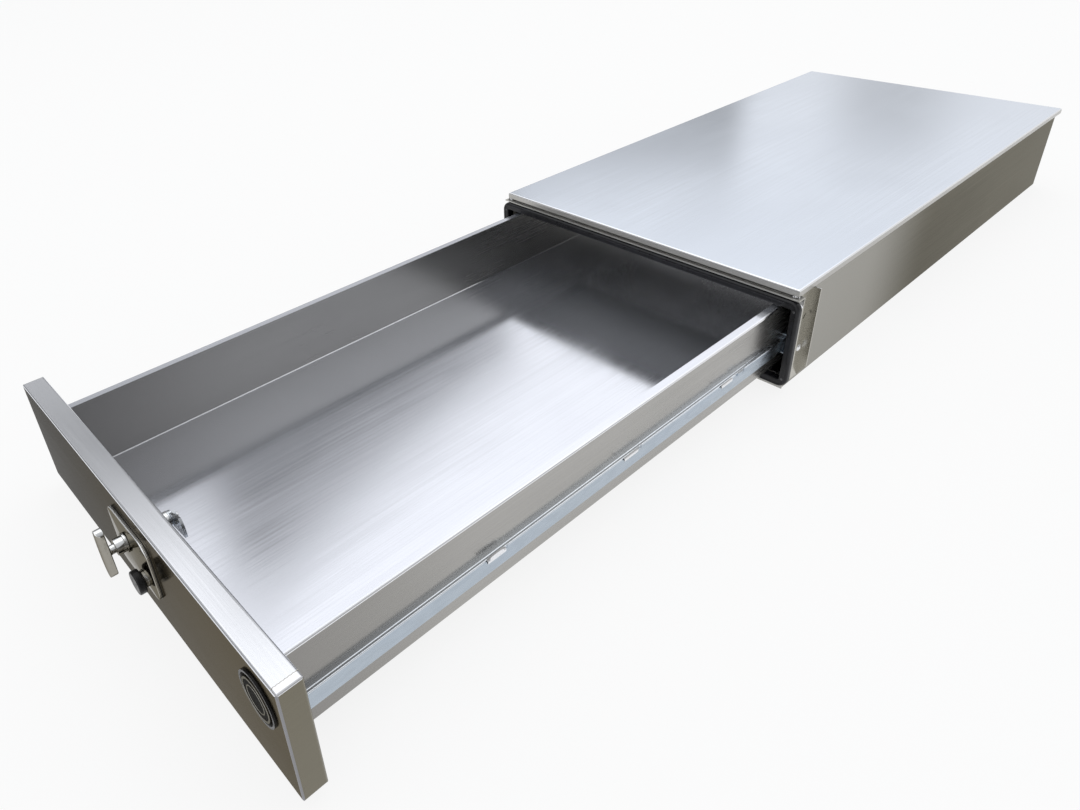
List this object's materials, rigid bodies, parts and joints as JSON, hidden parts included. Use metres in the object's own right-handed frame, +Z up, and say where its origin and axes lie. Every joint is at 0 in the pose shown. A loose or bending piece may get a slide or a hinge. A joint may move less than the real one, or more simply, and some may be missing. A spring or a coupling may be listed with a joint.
{
  "type": "lockable sleeve drawer",
  "caption": "Long stainless drawer on ball slides in a flat sleeve, with a rubber face seal, T-handle latch, key lock and plain round badge.",
  "frame": {"origin": "centre of the sleeve's flat base", "axes": "+Z up, -Y towards the drawer front, +X to the right seen from the front"},
  "size_m": [0.6, 1.9457, 0.168],
  "materials": {
    "stainless_sheet": "brushed stainless sheet, lightly scuffed",
    "lid_sheet": "smooth stainless sheet with fine long grain",
    "panel_sheet": "brushed stainless, grain along the width",
    "zinc_steel": "bright blue zinc plate",
    "polished_chrome": "polished chrome plate",
    "black_rubber": "smooth semi-gloss rubber",
    "black_plastic": "smooth black",
    "brass": "machined",
    "badge_metal": "plain satin disc",
    "ball_steel": "polished steel"
  },
  "bodies": {
    "sleeve": {"housing_shell": "stainless_sheet", "rear_panel": "stainless_sheet", "lid": "lid_sheet", "front_frame": "stainless_sheet", "seal": "black_rubber", "seal_screws": "ball_steel", "bracket_right": "panel_sheet", "bracket_left": "panel_sheet", "bracket_rivets": "ball_steel", "cabinet_rail_right": "zinc_steel", "cabinet_rail_left": "zinc_steel", "rail_bumpers": "black_rubber"},
    "drawer": {"tray": "stainless_sheet", "tray_front": "stainless_sheet", "tray_rear": "stainless_sheet", "front_panel": "panel_sheet", "panel_back": "stainless_sheet", "drawer_rail_right": "zinc_steel", "drawer_rail_left": "zinc_steel", "badge_rim": "black_plastic", "badge_disc": "badge_metal", "lock_gasket": "black_rubber", "lock_plate": "polished_chrome", "lock_barrel": "polished_chrome", "barrel_nut": "zinc_steel", "lock_backplate": "zinc_steel", "backplate_screws": "zinc_steel", "key_barrel": "polished_chrome", "key_nut": "zinc_steel"},
    "cage_right": {"ball_cage_right": "zinc_steel", "balls_right": "ball_steel"},
    "cage_left": {"ball_cage_left": "zinc_steel", "balls_left": "ball_steel"},
    "handle": {"t_handle": "polished_chrome", "latch_cam": "zinc_steel", "cam_washer": "zinc_steel", "cam_nut": "zinc_steel"},
    "key": {"key_plug": "brass", "key_knob": "black_plastic", "key_tail": "zinc_steel"}
  },
  "joints": [
    {"name": "drawer_slide", "type": "slide", "parent": "sleeve", "child": "drawer", "axis": [0, 1, 0], "range_m": [0, 0.7935]},
    {"name": "cage_right_roll", "type": "slide", "parent": "sleeve", "child": "cage_right", "axis": [0, 1, 0], "range_m": [0, 0.39675]},
    {"name": "cage_left_roll", "type": "slide", "parent": "sleeve", "child": "cage_left", "axis": [0, 1, 0], "range_m": [0, 0.39675]},
    {"name": "handle_turn", "type": "hinge", "parent": "drawer", "child": "handle", "pos_m": [0, -1.373, 0.11], "axis": [0, -1, 0], "range_deg": [-14, 76]},
    {"name": "key_turn", "type": "hinge", "parent": "drawer", "child": "key", "pos_m": [0.029, -1.373, 0.08], "axis": [0, -1, 0], "range_deg": [0, 90]}
  ],
  "couplings": [
    {"joint": "cage_right_roll", "follows": "drawer_slide", "ratio": 0.5},
    {"joint": "cage_left_roll", "follows": "drawer_slide", "ratio": 0.5}
  ]
}
